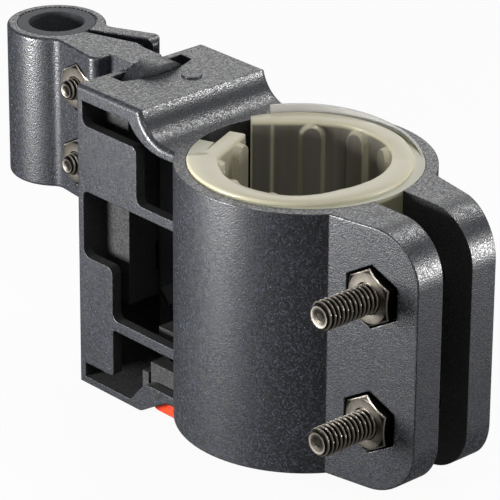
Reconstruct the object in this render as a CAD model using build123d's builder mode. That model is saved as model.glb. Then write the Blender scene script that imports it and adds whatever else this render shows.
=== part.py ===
"""Bike lock bracket: a frame-side receiver with a tube clamp, and the lock-side clamp that slides into it.

Units are millimetres. +Z is up along the tube, +X runs from the slide housing to the clamp ears, and
+Y is away from the nuts. The origin is the centre of the tube clamp's bore, at half its height.
"""

from math import asin, atan, cos, degrees, radians, sin, sqrt, tan
from build123d import *
import os

os.makedirs("parts", exist_ok=True)

# General fits
slide_gap = 0.35
seat_gap = 0.3
liner_gap = 0.1

# Tube clamp ring, from the tube outwards
tube_radius = 17.1
rib_height = 1.5
inner_liner_wall = 2.5
outer_liner_wall = 3.45
ring_wall = 2.65
ring_height = 58.3
inner_liner_bore = tube_radius + rib_height
inner_liner_radius = inner_liner_bore + inner_liner_wall
outer_liner_inner = inner_liner_radius + liner_gap
outer_liner_radius = outer_liner_inner + outer_liner_wall
ring_bore = outer_liner_radius + liner_gap
ring_radius = ring_bore + ring_wall
ring_top = ring_height / 2
ring_bottom = -ring_height / 2

# C-shaped liners: arc limits in degrees from +X, and the inner one's ribs and flange
outer_liner_start = -159.0
outer_liner_end = 155.0
inner_liner_start = -178.0
inner_liner_end = 166.0
flange_radius = 23.5
flange_height = 0.75
flange_lean = 0.8
raised_rim_inner = 24.0
raised_rim_crest = 2.9
raised_rim_rise = 0.3
raised_rim_slope = 0.1036
raised_rim_bearing = 150.0
rib_width = 5.0
rib_count = 10
rib_pitch = 33.0
rib_first = -164.4
rib_top_drop = 0.1

# Clamp ears
ear_tip_x = 44.4
ear_root_x = 22.3
ear_root_half = 15.2
ear_tip_half = 11.0
ear_slot = 8.3
ear_corner = 11.0
ear_edge = 0.3
ear_half_slope = (ear_root_half - ear_tip_half) / (ear_tip_x - ear_root_x)

# Quarter-inch screws and 7/16 inch nuts of the tube clamp
clamp_bolt_x = 33.35
clamp_bolt_spacing = 28.0
clamp_bolt_radius = 3.175
clamp_bolt_length = 38.1
clamp_head_radius = 4.76
clamp_head_height = 6.35
clamp_key_flats = 4.76
clamp_nut_flats = 11.1
clamp_nut_height = 5.55
clamp_nut_proud = 1.2
clamp_pocket_gap = 0.55
clamp_head_sunk = 2.5

# Slide housing
housing_half = 17.95
housing_back_x = -52.4
housing_step_x = -31.9
plate_rise = 6.2
floor_drop = 5.5
side_drop = 0.6
step_foot_x = -31.8
step_top_x = -23.6
step_corner = 3.0
skin_wall = 2.4
back_wall = 2.1
plate_wall = 3.3
floor_wall = 1.5
shoulder_radius = 8.0
shoulder_wall = 2.2
plate_edge = 1.1
housing_corner = 0.8
plate_top = ring_top + plate_rise
floor_bottom = ring_bottom - floor_drop
side_bottom = ring_bottom - side_drop
skin_inner = housing_half - skin_wall
plate_under = plate_top - plate_wall

# Windows in the near side skin
stile_x = housing_back_x + back_wall
window_ring_x = -15.0
panel_drop = 5.5
panel_height = 12.9
panel_right_x = -32.8
upper_rib_height = 2.3
lower_panel_right_x = -40.9
window_corner = 1.6
sill_corner = 4.0
sill_rise_start_x = -35.3
sill_rise_end_x = -30.5
panel_top = plate_under - panel_drop
upper_rib_top = panel_top - panel_height
upper_rib_under = upper_rib_top - upper_rib_height
lower_panel_top = ring_bottom + 25.1
lower_panel_bottom = ring_bottom - 0.6
lower_rib_top = ring_bottom + 13.0
lower_rib_under = ring_bottom + 10.6
sill_high = ring_bottom + 1.45
sill_low = floor_bottom + floor_wall

# T-slot channel
lip_wall = 2.1
mouth_half = 5.1
pocket_half = 9.9
pocket_apex_x = -44.3
pocket_arc_radius = 21.6
channel_wall = 2.0
channel_floor_wall = 2.0
pocket_back_x = housing_back_x + lip_wall
channel_front_x = pocket_apex_x + channel_wall
channel_half = pocket_half + channel_wall

# Lock-side clamp
lock_x = -80.3
lock_height = 35.0
lock_rise = 1.5
lock_ring_radius = 10.9
lock_bore = 8.7
shackle_radius = 6.2
lock_liner_gap = 0.1
lock_lobe_start = -55.0
lock_lobe_end = 5.0
lock_end_x = -57.3
lock_front_root = -7.1
lock_front_tip = -8.65
lock_root_x = -70.4
lock_waist_radius = 3.0
lock_slot_angle = 18.6
lock_slot_point = (-70.5, 0.8)
lock_slot_root = 2.1
lock_slot_flare = 0.147
lock_back_wall = 3.8
lock_back_end_x = -58.2
lock_edge = 0.7
lock_corner = 2.0
lock_top = plate_top + lock_rise
lock_bottom = lock_top - lock_height
serration_count = 22
serration_depth = 0.45
serration_width = 0.7
serration_start = 60.0
serration_end = 205.0
lobe_gap = 2.0

# Tongue of the lock-side clamp
tongue_rise = 2.1
tongue_length = 50.0
toe_height = 4.0
notch_height = 6.0
notch_depth = 2.0
notch_half = 4.6
tongue_lead = 1.6
neck_half = 4.1
tongue_top = plate_top + tongue_rise
tongue_half = pocket_half - slide_gap
tongue_back_x = pocket_back_x + slide_gap
tongue_apex_x = pocket_apex_x - slide_gap
tongue_arc_radius = pocket_arc_radius - slide_gap
tongue_bottom = tongue_top - tongue_length
pocket_floor = tongue_bottom - seat_gap
channel_bottom = pocket_floor - channel_floor_wall
mouth_bottom = lock_bottom - seat_gap
toe_top = tongue_bottom + toe_height

# No. 10 screws and 3/8 inch nuts of the lock-side clamp
lock_bolt_x = -64.1
lock_bolt_spacing = 17.6
lock_bolt_radius = 2.4
lock_bolt_length = 20.0
lock_head_radius = 3.95
lock_head_height = 4.8
lock_key_flats = 3.95
lock_nut_flats = 9.5
lock_nut_height = 3.2
lock_nut_proud = 0.6
lock_pocket_gap = 0.25
lock_head_gap = 0.35
lock_bolt_tip_y = -11.0

# Details common to the fasteners
bolt_chamfer = 0.8
head_edge = 0.5
thread_gap = 0.05
nut_chamfer_inset = 0.1
nut_chamfer_angle = 60.0

# Release button, the slider that it caps, and their springs
button_drop = 5.75
button_height = 5.15
button_edge = 0.8
button_corner = 2.0
button_back_x = housing_step_x + slide_gap
button_ring_radius = ring_radius + slide_gap
guide_wall = 2.0
guide_height = 8.3
arm_half = 5.0
arm_height = 2.4
wedge_half = 3.6
wedge_run = 3.0
peg_radius = 1.1
peg_height = 3.0
peg_gap = 0.05
peg_x = -29.6
peg_y = 5.0
spring_inset = 5.2
spring_x = -28.8
spring_radius = 1.2
spring_wire = 0.25
spring_turns = 7
spring_bore_gap = 0.3
spring_bore_floor = 1.0
spring_seat_wall = 2.6
spring_seat_half = 2.8
button_half = skin_inner - slide_gap
button_bottom = ring_bottom - button_drop
spring_y = button_half - spring_inset
guide_top = floor_bottom + guide_height
arm_under = guide_top + seat_gap
arm_top = arm_under + arm_height
slider_bottom = button_bottom + button_height
seat_under = lower_rib_under

# Catch strip and its screw
leaf_thickness = 0.8
leaf_half = 4.0
leaf_x = channel_front_x + seat_gap
leaf_bend = 1.2
hook_height = 3.2
hook_reach = 1.2
hook_clear = 0.4
hook_lip = 0.8
foot_run = 3.4
foot_rise = 5.0
foot_gap = 0.45
flange_length = 7.4
screw_x = -37.6
screw_radius = 1.5
screw_hole_gap = 0.05
screw_head_radius = 2.8
screw_head_height = 1.6
screw_length = 7.2
screw_slot = 0.8
screw_head_edge = 0.4
boss_radius = 3.2
boss_height = 5.0
leaf_top = plate_under - boss_height
hook_bottom = toe_top + seat_gap
foot_knee = hook_bottom - foot_rise

# Raised round pad on the plate
pad_x = -39.5
pad_y = 3.6
pad_radius = 2.2
pad_height = 0.35


def y_plane(y):
    """Plane across Y whose local axes are X and Z; extrusions run towards -Y."""
    return Plane.XZ.offset(-y)


def hexagon_radius(across_flats):
    """Corner radius of a hexagon from its size across flats."""
    return across_flats / 2 / cos(radians(30))


def ear_half(x):
    """Half width over both ears at a place along X."""
    return ear_root_half - ear_half_slope * (x - ear_root_x)


clamp_bolt_heights = {
    "upper": clamp_bolt_spacing / 2,
    "lower": -clamp_bolt_spacing / 2,
}
lock_middle = (lock_top + lock_bottom) / 2
lock_bolt_heights = {
    "upper": lock_middle + lock_bolt_spacing / 2,
    "lower": lock_middle - lock_bolt_spacing / 2,
}
clamp_head_seat = ear_half(clamp_bolt_x) - clamp_head_sunk
clamp_nut_face = -ear_half(clamp_bolt_x) - clamp_nut_proud
clamp_pocket_floor = clamp_nut_face + clamp_nut_height
lock_front_slope = (lock_front_tip - lock_front_root) / (lock_end_x - lock_root_x)
lock_front_at_bolt = lock_front_root + lock_front_slope * (lock_bolt_x - lock_root_x)
lock_nut_face = lock_front_at_bolt - lock_nut_proud
lock_pocket_floor = lock_nut_face + lock_nut_height
lock_head_seat = lock_bolt_tip_y + lock_bolt_length
pocket_side_x = pocket_apex_x - pocket_arc_radius + sqrt(pocket_arc_radius**2 - pocket_half**2)
tongue_side_x = tongue_apex_x - tongue_arc_radius + sqrt(tongue_arc_radius**2 - tongue_half**2)
shoulder_angle = degrees(asin((shoulder_radius - plate_rise) / shoulder_radius))
shoulder_reach = shoulder_radius * cos(radians(shoulder_angle))
shoulder_x = housing_step_x + shoulder_reach


# Receiver: housing, clamp ring and ears in one moulding
with BuildPart() as receiver_body:
    # Ears: a slab with rounded free corners, tapered towards its tip
    with BuildSketch(Plane.XZ) as ear_side:
        with Locations((ear_tip_x / 2, 0)):
            Rectangle(ear_tip_x, ring_height)
        fillet(ear_side.vertices().group_by(Axis.X)[-1], ear_corner)
    extrude(amount=ear_root_half + 1, both=True)
    with BuildSketch(Plane.XY.offset(ring_bottom - 1)):
        for side in (1, -1):
            with BuildLine():
                Polyline(
                    (ear_tip_x + 1, side * ear_half(ear_tip_x + 1)),
                    (0, side * ear_half(0)),
                    (0, side * 2 * ear_root_half),
                    (ear_tip_x + 1, side * 2 * ear_root_half),
                    close=True,
                )
            make_face()
    extrude(amount=ring_height + 2, mode=Mode.SUBTRACT)
    ear_rims = receiver_body.faces().filter_by(lambda f: abs(f.normal_at().Y) > 0.9)
    fillet([e for f in ear_rims for e in f.edges() if e.center().X > ear_root_x], ear_edge)

    # Housing block with the shoulder that falls to the ring's top
    with BuildSketch(Plane.XZ) as housing_side:
        with BuildLine():
            Polyline(
                (0, ring_top),
                (0, side_bottom),
                (step_top_x, side_bottom),
                (step_foot_x, floor_bottom),
                (housing_back_x, floor_bottom),
                (housing_back_x, plate_top),
                (housing_step_x, plate_top),
            )
            CenterArc(
                (shoulder_x, ring_top + shoulder_radius),
                shoulder_radius,
                180 + shoulder_angle,
                90 - shoulder_angle,
            )
            Line((shoulder_x, ring_top), (0, ring_top))
        make_face()
        step_foot = housing_side.vertices().filter_by(lambda v: abs(v.X - step_foot_x) < 0.01)
        fillet(step_foot, step_corner)
    extrude(amount=housing_half, both=True)
    outer_edges = receiver_body.edges().filter_by(
        lambda e: abs(abs(e.center().Y) - housing_half) < 0.01 and e.center().X < shoulder_x
    )
    plate_edges = [e for e in outer_edges if e.center().Z > ring_top and e.center().X > housing_back_x + 1]
    fillet(plate_edges, plate_edge)
    back_edges = receiver_body.edges().filter_by(Axis.Z).group_by(Axis.X)[0]
    fillet(back_edges, housing_corner)

    # Hollow of the housing; the ring's wall closes it later
    with BuildSketch(Plane.XZ):
        with BuildLine():
            Polyline(
                (0, ring_top - shoulder_wall),
                (0, floor_bottom - 1),
                (housing_step_x, floor_bottom - 1),
                (housing_step_x, guide_top),
                (housing_step_x - guide_wall, guide_top),
                (housing_step_x - guide_wall, floor_bottom + floor_wall),
                (stile_x, floor_bottom + floor_wall),
                (stile_x, plate_under),
                (housing_step_x - plate_wall, plate_under),
            )
            Spline(
                (housing_step_x - plate_wall, plate_under),
                (shoulder_x - 1, ring_top - shoulder_wall),
                tangents=[(1, -1.4), (1, -0.05)],
            )
            Line((shoulder_x - 1, ring_top - shoulder_wall), (0, ring_top - shoulder_wall))
        make_face()
    extrude(amount=skin_inner, both=True, mode=Mode.SUBTRACT)

    # Upper window: above the upper panel, then down beside it
    with BuildSketch(y_plane(-skin_inner)) as upper_window:
        with BuildLine():
            Polyline(
                (stile_x, plate_under),
                (stile_x, panel_top),
                (panel_right_x, panel_top),
                (panel_right_x, upper_rib_top),
                (window_ring_x, upper_rib_top),
                (window_ring_x, ring_top - shoulder_wall),
                (shoulder_x - 1, ring_top - shoulder_wall),
            )
            Spline(
                (shoulder_x - 1, ring_top - shoulder_wall),
                (housing_step_x - plate_wall, plate_under),
                tangents=[(-1, 0.05), (-1, 1.4)],
            )
            Line((housing_step_x - plate_wall, plate_under), (stile_x, plate_under))
        make_face()
        inner_corners = upper_window.vertices().filter_by(
            lambda v: v.X < panel_right_x + 1 and v.Y < plate_under - 1
        )
        fillet(inner_corners, window_corner)
    extrude(amount=skin_wall + 1, mode=Mode.SUBTRACT)

    # Middle window: under the upper rib, stepped round the lower panel
    with BuildSketch(y_plane(-skin_inner)) as middle_window:
        with BuildLine():
            Polyline(
                (stile_x, upper_rib_under),
                (stile_x, lower_panel_top),
                (lower_panel_right_x, lower_panel_top),
                (lower_panel_right_x, lower_rib_top),
                (window_ring_x, lower_rib_top),
                (window_ring_x, upper_rib_under),
                close=True,
            )
        make_face()
        fillet(middle_window.vertices().filter_by(lambda v: v.X < window_ring_x - 1), window_corner)
    extrude(amount=skin_wall + 1, mode=Mode.SUBTRACT)

    # Lower window: beside and under the lower panel, over the rising sill
    with BuildSketch(y_plane(-skin_inner)) as lower_window:
        with BuildLine():
            Polyline(
                (stile_x, lower_panel_bottom),
                (stile_x, sill_low),
                (sill_rise_start_x, sill_low),
                (sill_rise_end_x, sill_high),
                (window_ring_x, sill_high),
                (window_ring_x, lower_rib_under),
                (lower_panel_right_x, lower_rib_under),
                (lower_panel_right_x, lower_panel_bottom),
                close=True,
            )
        make_face()
        low_corners = lower_window.vertices().filter_by(lambda v: stile_x + 1 < v.X < sill_rise_start_x + 1)
        fillet(low_corners, window_corner / 2)
        sill_top = lower_window.vertices().filter_by(lambda v: abs(v.X - sill_rise_end_x) < 0.01)
        fillet(sill_top, sill_corner)
    extrude(amount=skin_wall + 1, mode=Mode.SUBTRACT)

    # Channel block that holds the tongue, from the back wall inwards
    with BuildSketch(Plane.XY.offset(channel_bottom)):
        with Locations(((stile_x - 1 + channel_front_x) / 2, 0)):
            Rectangle(channel_front_x - stile_x + 1, 2 * channel_half)
    extrude(amount=plate_under - channel_bottom + 1)

    # Screw boss under the plate, spring seats on the ring's wall, and the raised pad
    with BuildSketch(Plane.XY.offset(leaf_top)):
        with Locations((screw_x, 0)):
            Circle(boss_radius)
    extrude(amount=plate_under - leaf_top + 1)
    with BuildSketch(Plane.XY.offset(seat_under)):
        for side in (1, -1):
            with Locations((spring_x / 2 - spring_seat_half / 2, side * spring_y)):
                Rectangle(-spring_x + spring_seat_half, 2 * spring_seat_half)
    extrude(amount=spring_seat_wall)
    with BuildSketch(Plane.XY.offset(plate_top)):
        with Locations((pad_x, pad_y)):
            Circle(pad_radius)
    extrude(amount=pad_height)

    # T-slot pocket, its mouth and the opening for the catch's hook
    with BuildSketch(Plane.XY.offset(pocket_floor)):
        with BuildLine():
            Polyline(
                (pocket_side_x, -pocket_half),
                (pocket_back_x, -pocket_half),
                (pocket_back_x, pocket_half),
                (pocket_side_x, pocket_half),
            )
            ThreePointArc((pocket_side_x, pocket_half), (pocket_apex_x, 0), (pocket_side_x, -pocket_half))
        make_face()
    extrude(amount=plate_top - pocket_floor + 1, mode=Mode.SUBTRACT)
    with BuildSketch(Plane.XY.offset(mouth_bottom)):
        with Locations((pocket_back_x - lip_wall / 2, 0)):
            Rectangle(2 * lip_wall, 2 * mouth_half)
    extrude(amount=plate_top - mouth_bottom + 1, mode=Mode.SUBTRACT)
    with BuildSketch(Plane.YZ.offset(pocket_apex_x - 1)):
        with Locations((0, toe_top + notch_height / 2)):
            Rectangle(2 * (leaf_half + hook_clear), notch_height + 2 * hook_clear)
    extrude(amount=channel_wall + 2, mode=Mode.SUBTRACT)
    with BuildSketch(Plane.XY.offset(leaf_top)):
        with Locations((screw_x, 0)):
            Circle(screw_radius + screw_hole_gap)
    extrude(amount=screw_length - leaf_thickness + seat_gap, mode=Mode.SUBTRACT)

    # Clamp ring, then its bore and the slot between the ears
    with BuildSketch(Plane.XY.offset(ring_bottom)):
        Circle(ring_radius)
    extrude(amount=ring_height)
    with BuildSketch(Plane.XY.offset(ring_bottom - 1)):
        Circle(ring_bore)
    extrude(amount=ring_height + 2, mode=Mode.SUBTRACT)
    with BuildSketch(Plane.XY.offset(ring_bottom - 1)):
        with Locations((ear_tip_x / 2 + 1, 0)):
            Rectangle(ear_tip_x + 2, ear_slot)
    extrude(amount=ring_height + 2, mode=Mode.SUBTRACT)

    # Bolt holes, nut pockets in the front ear and head recesses in the rear ear
    for bolt_z in clamp_bolt_heights.values():
        with BuildSketch(y_plane(ear_root_half + 1)):
            with Locations((clamp_bolt_x, bolt_z)):
                Circle(clamp_bolt_radius + clamp_pocket_gap / 2)
        extrude(amount=2 * ear_root_half + 2, mode=Mode.SUBTRACT)
        with BuildSketch(y_plane(clamp_pocket_floor)):
            with Locations((clamp_bolt_x, bolt_z)):
                RegularPolygon(hexagon_radius(clamp_nut_flats + 2 * clamp_pocket_gap), 6, rotation=30)
        extrude(amount=ear_root_half, mode=Mode.SUBTRACT)
        with BuildSketch(y_plane(clamp_head_seat)):
            with Locations((clamp_bolt_x, bolt_z)):
                Circle(clamp_head_radius + clamp_pocket_gap)
        extrude(amount=-ear_root_half, mode=Mode.SUBTRACT)
receiver_body.part.label = "receiver_body"
export_step(receiver_body.part, "parts/receiver_body.step")


def sector_points(start, end, reach):
    """Corners of a wedge from the axis, between two angles less than half a turn apart."""
    middle = (start + end) / 2
    return [(0, 0)] + [(reach * cos(radians(a)), reach * sin(radians(a))) for a in (start, middle, end)]


# Outer liner: a C of soft plastic against the ring's bore, its far end standing proud of the ring
climb = Plane(
    origin=(0, 0, ring_top + raised_rim_rise),
    x_dir=(-sin(radians(raised_rim_bearing)), cos(radians(raised_rim_bearing)), 0),
    z_dir=(
        -raised_rim_slope * cos(radians(raised_rim_bearing)),
        -raised_rim_slope * sin(radians(raised_rim_bearing)),
        1,
    ),
)
with BuildPart() as outer_liner:
    # Thin rim that climbs from flush to its crest at the far end
    with BuildSketch(Plane.XY.offset(ring_top)):
        Circle(outer_liner_radius)
        Circle(raised_rim_inner, mode=Mode.SUBTRACT)
        with Locations((0, -ring_radius)):
            Rectangle(4 * ring_radius, 2 * ring_radius, mode=Mode.SUBTRACT)
    extrude(amount=raised_rim_crest)
    with BuildSketch(climb):
        Rectangle(4 * ring_radius, 4 * ring_radius)
    extrude(amount=4 * raised_rim_crest, mode=Mode.SUBTRACT)
    with BuildSketch(Plane.XY.offset(ring_bottom)):
        Circle(outer_liner_radius)
        Circle(outer_liner_inner, mode=Mode.SUBTRACT)
    extrude(amount=ring_height)
    with BuildSketch(Plane.XY.offset(ring_bottom)):
        with BuildLine():
            Polyline(*sector_points(outer_liner_end, 360 + outer_liner_start, 2 * ring_radius), close=True)
        make_face()
    extrude(amount=2 * ring_height, mode=Mode.SUBTRACT)
outer_liner.part.label = "outer_liner"
export_step(outer_liner.part, "parts/outer_liner.step")


def rib_plane(angle):
    """Plane across a radius, just inside the tube's surface; extrusions run outwards."""
    outwards = Vector(cos(radians(angle)), sin(radians(angle)), 0)
    return Plane(origin=outwards * (tube_radius - 1), x_dir=(-outwards.Y, outwards.X, 0), z_dir=outwards)


# Inner liner: a C with round-topped ribs that bear on the tube, and a thin flange over the outer liner
rib_arch_z = ring_top - rib_top_drop - rib_width / 2
with BuildPart() as inner_liner:
    for rib_number in range(rib_count):
        with BuildSketch(rib_plane(rib_first + rib_number * rib_pitch)):
            with Locations((0, (ring_bottom + rib_arch_z) / 2)):
                Rectangle(rib_width, rib_arch_z - ring_bottom)
            with Locations((0, rib_arch_z)):
                Circle(rib_width / 2)
        extrude(amount=1 + rib_height + inner_liner_wall / 2)
    with BuildSketch(Plane.XY.offset(ring_bottom)):
        Circle(inner_liner_radius)
        Circle(inner_liner_bore, mode=Mode.SUBTRACT)
    extrude(amount=ring_height)
    with BuildSketch(Plane.XY.offset(ring_top)):
        with Locations((-flange_lean, -flange_lean)):
            Circle(flange_radius)
        Circle(inner_liner_bore, mode=Mode.SUBTRACT)
    extrude(amount=flange_height)
    with BuildSketch(Plane.XY.offset(ring_bottom)):
        Circle(tube_radius)
    extrude(amount=ring_height, mode=Mode.SUBTRACT)
    with BuildSketch(Plane.XY.offset(ring_bottom)):
        with BuildLine():
            Polyline(*sector_points(inner_liner_end, 360 + inner_liner_start, 2 * ring_radius), close=True)
        make_face()
    extrude(amount=ring_height + flange_height, mode=Mode.SUBTRACT)
inner_liner.part.label = "inner_liner"
export_step(inner_liner.part, "parts/inner_liner.step")


# Lock-side clamp: ring, two ears, neck and T-shaped tongue in one moulding
slot_rise = tan(radians(lock_slot_angle))
back_thick = lock_back_wall / cos(atan(slot_rise + lock_slot_flare))


def slot_front(x):
    """Y of the front ear's slot face at a place along X."""
    return lock_slot_point[1] + slot_rise * (x - lock_slot_point[0])


def slot_back(x):
    """Y of the back ear's slot face, which spreads from the front one towards the tip."""
    return slot_front(x) + lock_slot_root + lock_slot_flare * (x - lock_slot_point[0])


with BuildPart() as lock_clamp:
    # Ring and ears
    with BuildSketch(Plane.XY.offset(lock_bottom)) as lock_plan:
        with Locations((lock_x, 0)):
            Circle(lock_ring_radius)
        with BuildLine():
            Polyline(
                (lock_x, lock_front_root - lock_front_slope * (lock_root_x - lock_x)),
                (lock_end_x, lock_front_tip),
                (lock_end_x, slot_front(lock_end_x)),
                (lock_x, slot_front(lock_x)),
                close=True,
            )
        make_face()
        with BuildLine():
            Polyline(
                (lock_x, slot_front(lock_x) - 1),
                (lock_back_end_x, slot_front(lock_back_end_x) - 1),
                (lock_back_end_x, slot_back(lock_back_end_x) + back_thick),
                (lock_x, slot_back(lock_x) + back_thick),
                close=True,
            )
        make_face()
        waists = lock_plan.vertices().filter_by(lambda v: lock_x + 1 < v.X < lock_back_end_x - 1)
        fillet(waists, lock_waist_radius)
        tips = lock_plan.vertices().filter_by(
            lambda v: v.X > lock_back_end_x - 1 and (v.Y < 0 or v.Y > slot_back(v.X))
        )
        fillet(tips, lock_corner)
    extrude(amount=lock_height)
    lock_rims = lock_clamp.faces().filter_by(Axis.Z)
    fillet([e for f in lock_rims for e in f.edges()], lock_edge)
    with BuildSketch(Plane.XY.offset(lock_bottom)):
        with BuildLine():
            Polyline(
                (lock_x, slot_front(lock_x)),
                (lock_end_x + 1, slot_front(lock_end_x + 1)),
                (lock_end_x + 1, slot_back(lock_end_x + 1)),
                (lock_x, slot_back(lock_x)),
                close=True,
            )
        make_face()
    extrude(amount=lock_height, mode=Mode.SUBTRACT)
    with BuildSketch(Plane.XY.offset(lock_bottom)):
        with BuildLine():
            Polyline(
                (lock_back_end_x, slot_front(lock_back_end_x)),
                (lock_end_x + 1, slot_front(lock_end_x + 1)),
                (lock_end_x + 1, 2 * lock_ring_radius),
                (lock_back_end_x, 2 * lock_ring_radius),
                close=True,
            )
        make_face()
    extrude(amount=lock_height, mode=Mode.SUBTRACT)
    with BuildSketch(y_plane(slot_front(lock_end_x))):
        for rim_z, inwards in ((lock_top, -1), (lock_bottom, 1)):
            with Locations((lock_back_end_x, rim_z)):
                Rectangle(2 * lock_corner, 2 * lock_corner)
            with Locations((lock_back_end_x - lock_corner, rim_z + inwards * lock_corner)):
                Circle(lock_corner, mode=Mode.SUBTRACT)
    extrude(amount=-2 * lock_ring_radius, mode=Mode.SUBTRACT)

    # Neck level with the ears, and the tongue under its dome
    with BuildSketch(Plane.XY.offset(lock_bottom)):
        with Locations(((lock_end_x - 1 + tongue_back_x + 1) / 2, 0)):
            Rectangle(tongue_back_x + 2 - lock_end_x, 2 * neck_half)
    extrude(amount=lock_height)
    with BuildSketch(Plane.XY.offset(tongue_bottom)):
        with BuildLine():
            Polyline(
                (tongue_side_x, -tongue_half),
                (tongue_back_x, -tongue_half),
                (tongue_back_x, tongue_half),
                (tongue_side_x, tongue_half),
            )
            ThreePointArc((tongue_side_x, tongue_half), (tongue_apex_x, 0), (tongue_side_x, -tongue_half))
        make_face()
    extrude(amount=tongue_length)
    tongue_foot = lock_clamp.faces().sort_by(Axis.Z)[0]
    chamfer(tongue_foot.edges(), tongue_lead / 2)
    with BuildSketch(Plane.YZ.offset(tongue_back_x)):
        with Locations((0, tongue_top)):
            Rectangle(4 * tongue_half, 2 * tongue_half)
        with Locations((0, tongue_top - tongue_half)):
            Circle(tongue_half, mode=Mode.SUBTRACT)
            with Locations((0, -tongue_half)):
                Rectangle(2 * tongue_half, 2 * tongue_half, mode=Mode.SUBTRACT)
    extrude(amount=tongue_apex_x - tongue_back_x + 1, mode=Mode.SUBTRACT)
    with BuildSketch(Plane.YZ.offset(tongue_apex_x - notch_depth)):
        with Locations((0, toe_top + notch_height / 2)):
            Rectangle(2 * notch_half, notch_height)
    extrude(amount=notch_depth + 1, mode=Mode.SUBTRACT)

    # Bore with its bare lobe, and the serrations that grip the liner
    with BuildSketch(Plane.XY.offset(lock_bottom)):
        with Locations((lock_x, 0)):
            Circle(lock_bore)
            with BuildLine():
                Polyline(*sector_points(lock_lobe_start, lock_lobe_end, 2 * lock_bore), close=True)
            make_face(mode=Mode.SUBTRACT)
            Circle(shackle_radius)
            with PolarLocations(
                lock_bore,
                serration_count,
                serration_start,
                serration_end - serration_start,
                endpoint=True,
            ):
                Rectangle(2 * serration_depth, serration_width)
    extrude(amount=lock_height, mode=Mode.SUBTRACT)

    # Bolt holes, nut pockets and head recesses of the ears
    for bolt_z in lock_bolt_heights.values():
        with BuildSketch(y_plane(lock_head_seat)):
            with Locations((lock_bolt_x, bolt_z)):
                Circle(lock_bolt_radius + lock_head_gap)
        extrude(amount=2 * lock_bolt_length, mode=Mode.SUBTRACT)
        with BuildSketch(y_plane(lock_pocket_floor)):
            with Locations((lock_bolt_x, bolt_z)):
                RegularPolygon(hexagon_radius(lock_nut_flats + 2 * lock_pocket_gap), 6, rotation=30)
        extrude(amount=2 * lock_nut_height, mode=Mode.SUBTRACT)
        with BuildSketch(y_plane(lock_head_seat)):
            with Locations((lock_bolt_x, bolt_z)):
                Circle(lock_head_radius + lock_head_gap)
        extrude(amount=-2 * lock_head_height, mode=Mode.SUBTRACT)
lock_clamp.part.label = "lock_clamp"
export_step(lock_clamp.part, "parts/lock_clamp.step")


# Rubber liner of the lock-side ring, open where the lobe stands
with BuildPart() as lock_liner:
    with BuildSketch(Plane.XY.offset(lock_bottom)):
        with Locations((lock_x, 0)):
            Circle(lock_bore - lock_liner_gap)
            Circle(shackle_radius, mode=Mode.SUBTRACT)
            with BuildLine():
                Polyline(
                    *sector_points(lock_lobe_start - lobe_gap, lock_lobe_end + lobe_gap, 2 * lock_bore),
                    close=True,
                )
            make_face(mode=Mode.SUBTRACT)
    extrude(amount=lock_height)
lock_liner.part.label = "lock_liner"
export_step(lock_liner.part, "parts/lock_liner.step")


# Screws and nuts of both clamps
fasteners = [
    (
        "clamp",
        clamp_bolt_x,
        clamp_bolt_heights,
        clamp_head_seat,
        clamp_bolt_length,
        (clamp_bolt_radius, clamp_head_radius, clamp_head_height, clamp_key_flats),
        (clamp_nut_face, clamp_nut_flats, clamp_nut_height),
    ),
    (
        "lock",
        lock_bolt_x,
        lock_bolt_heights,
        lock_head_seat,
        lock_bolt_length,
        (lock_bolt_radius, lock_head_radius, lock_head_height, lock_key_flats),
        (lock_nut_face, lock_nut_flats, lock_nut_height),
    ),
]
for family, bolt_x, heights, seat_y, length, bolt_sizes, nut_sizes in fasteners:
    shank, head, head_height, key_flats = bolt_sizes
    nut_face, nut_flats, nut_height = nut_sizes
    for level, bolt_z in heights.items():
        with BuildPart() as bolt:
            with BuildSketch(y_plane(seat_y)):
                with Locations((bolt_x, bolt_z)):
                    Circle(shank)
            extrude(amount=length)
            chamfer(bolt.faces().sort_by(Axis.Y)[0].edges(), bolt_chamfer)
            with BuildSketch(y_plane(seat_y)):
                with Locations((bolt_x, bolt_z)):
                    Circle(head)
            extrude(amount=-head_height)
            fillet(bolt.faces().sort_by(Axis.Y)[-1].edges(), head_edge)
            with BuildSketch(y_plane(seat_y + head_height)):
                with Locations((bolt_x, bolt_z)):
                    RegularPolygon(hexagon_radius(key_flats), 6)
            extrude(amount=head_height / 2, mode=Mode.SUBTRACT)
        bolt.part.label = f"{level}_{family}_bolt"
        export_step(bolt.part, f"parts/{bolt.part.label}.step")

        with BuildPart() as nut:
            with BuildSketch(y_plane(nut_face)):
                with Locations((bolt_x, bolt_z)):
                    RegularPolygon(hexagon_radius(nut_flats), 6, rotation=30)
            extrude(amount=-nut_height)
            with BuildSketch(y_plane(nut_face)):
                with Locations((bolt_x, bolt_z)):
                    Circle(nut_flats / 2 - nut_chamfer_inset)
            extrude(amount=-nut_height, taper=-nut_chamfer_angle, mode=Mode.INTERSECT)
            with BuildSketch(y_plane(nut_face)):
                with Locations((bolt_x, bolt_z)):
                    Circle(shank + thread_gap)
            extrude(amount=-nut_height, mode=Mode.SUBTRACT)
        nut.part.label = f"{level}_{family}_nut"
        export_step(nut.part, f"parts/{nut.part.label}.step")


# Plan of the button and its slider, hollowed to follow the ring
button_side_x = -sqrt(button_ring_radius**2 - button_half**2)
with BuildSketch(Plane.XY) as button_plan:
    with BuildLine():
        Polyline(
            (button_side_x, -button_half),
            (button_back_x, -button_half),
            (button_back_x, button_half),
            (button_side_x, button_half),
        )
        ThreePointArc(
            (button_side_x, button_half),
            (-button_ring_radius, 0),
            (button_side_x, -button_half),
        )
    make_face()


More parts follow.
